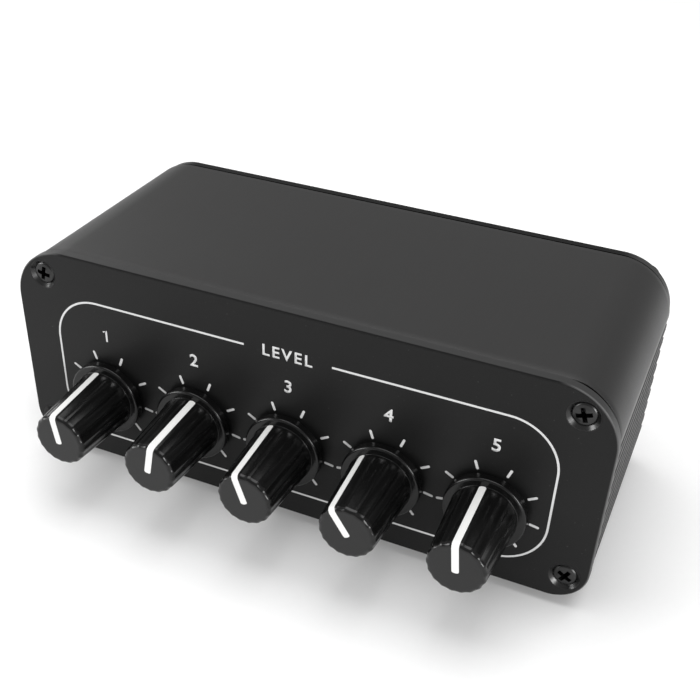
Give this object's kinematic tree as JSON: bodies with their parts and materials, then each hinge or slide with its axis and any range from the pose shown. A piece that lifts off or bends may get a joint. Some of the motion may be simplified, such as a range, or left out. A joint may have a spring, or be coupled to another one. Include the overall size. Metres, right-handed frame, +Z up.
{
  "type": "audio splitter",
  "caption": "Low black box with rounded edges, a row of level knobs on a framed front panel, and pairs of phono sockets behind.",
  "frame": {"origin": "middle of the whole object in X and Y, knob tips and socket tips included, on the plane its feet stand on", "axes": "+Z up, the knobs face -Y, the sockets face +Y, +X to the right as one faces the knobs"},
  "size_m": [0.12, 0.0808, 0.0478],
  "materials": {
    "case_metal": "satin black anodised extrusion",
    "panel_metal": "satin black anodised plate",
    "screw_metal": "plated steel",
    "foot_rubber": "matte black rubber",
    "print_white": "matte white screen print",
    "board_laminate": "green solder mask",
    "lead_metal": "tinned",
    "nut_metal": "nickel plated",
    "pot_plastic": "moulded black",
    "shaft_metal": "plain machined",
    "knob_plastic": "smooth black moulding",
    "pointer_white": "white inlay",
    "socket_plastic": "moulded black",
    "shell_metal": "nickel plated",
    "red_plastic": "moulded red",
    "white_plastic": "moulded white",
    "contact_metal": "plated spring brass",
    "chip_plastic": "moulded black",
    "capacitor_sleeve": "dark blue sleeve",
    "converter_plastic": "moulded dark grey"
  },
  "bodies": {
    "case": {"extruded_case": "case_metal", "front_panel": "panel_metal", "rear_panel": "panel_metal", "front_panel_screws": "screw_metal", "rear_panel_screws": "screw_metal", "rubber_feet": "foot_rubber", "scale_print": "print_white", "circuit_board": "board_laminate", "pot_leads": "lead_metal", "socket_leads": "lead_metal", "pot_nuts": "nut_metal", "pot_washers": "nut_metal", "pot_1_housing": "pot_plastic", "pot_1_bushing": "nut_metal", "pot_2_housing": "pot_plastic", "pot_2_bushing": "nut_metal", "pot_3_housing": "pot_plastic", "pot_3_bushing": "nut_metal", "pot_4_housing": "pot_plastic", "pot_4_bushing": "nut_metal", "pot_5_housing": "pot_plastic", "pot_5_bushing": "nut_metal", "input_socket_housing": "socket_plastic", "input_socket_shells": "shell_metal", "output_1_socket_housing": "socket_plastic", "output_1_socket_shells": "shell_metal", "output_2_socket_housing": "socket_plastic", "output_2_socket_shells": "shell_metal", "output_3_socket_housing": "socket_plastic", "output_3_socket_shells": "shell_metal", "output_4_socket_housing": "socket_plastic", "output_4_socket_shells": "shell_metal", "output_5_socket_housing": "socket_plastic", "output_5_socket_shells": "shell_metal", "red_insulators": "red_plastic", "white_insulators": "white_plastic", "socket_contacts": "contact_metal", "power_jack_pin": "contact_metal", "power_jack_housing": "socket_plastic", "amplifier_chips": "chip_plastic", "chip_resistors": "chip_plastic", "signal_capacitors": "capacitor_sleeve", "supply_capacitors": "capacitor_sleeve", "power_converter": "converter_plastic"},
    "level_1": {"knob_1": "knob_plastic", "pointer_1": "pointer_white", "shaft_1": "shaft_metal"},
    "level_2": {"knob_2": "knob_plastic", "pointer_2": "pointer_white", "shaft_2": "shaft_metal"},
    "level_3": {"knob_3": "knob_plastic", "pointer_3": "pointer_white", "shaft_3": "shaft_metal"},
    "level_4": {"knob_4": "knob_plastic", "pointer_4": "pointer_white", "shaft_4": "shaft_metal"},
    "level_5": {"knob_5": "knob_plastic", "pointer_5": "pointer_white", "shaft_5": "shaft_metal"}
  },
  "joints": [
    {"name": "level_1_turn", "type": "hinge", "parent": "case", "child": "level_1", "pos_m": [-0.04, -0.0221, 0.0185], "axis": [0, 1, 0], "range_deg": [-131, 149]},
    {"name": "level_2_turn", "type": "hinge", "parent": "case", "child": "level_2", "pos_m": [-0.02, -0.0221, 0.0185], "axis": [0, 1, 0], "range_deg": [-150, 130]},
    {"name": "level_3_turn", "type": "hinge", "parent": "case", "child": "level_3", "pos_m": [0, -0.0221, 0.0185], "axis": [0, 1, 0], "range_deg": [-120, 160]},
    {"name": "level_4_turn", "type": "hinge", "parent": "case", "child": "level_4", "pos_m": [0.02, -0.0221, 0.0185], "axis": [0, 1, 0], "range_deg": [-106, 174]},
    {"name": "level_5_turn", "type": "hinge", "parent": "case", "child": "level_5", "pos_m": [0.04, -0.0221, 0.0185], "axis": [0, 1, 0], "range_deg": [-134, 146]}
  ]
}
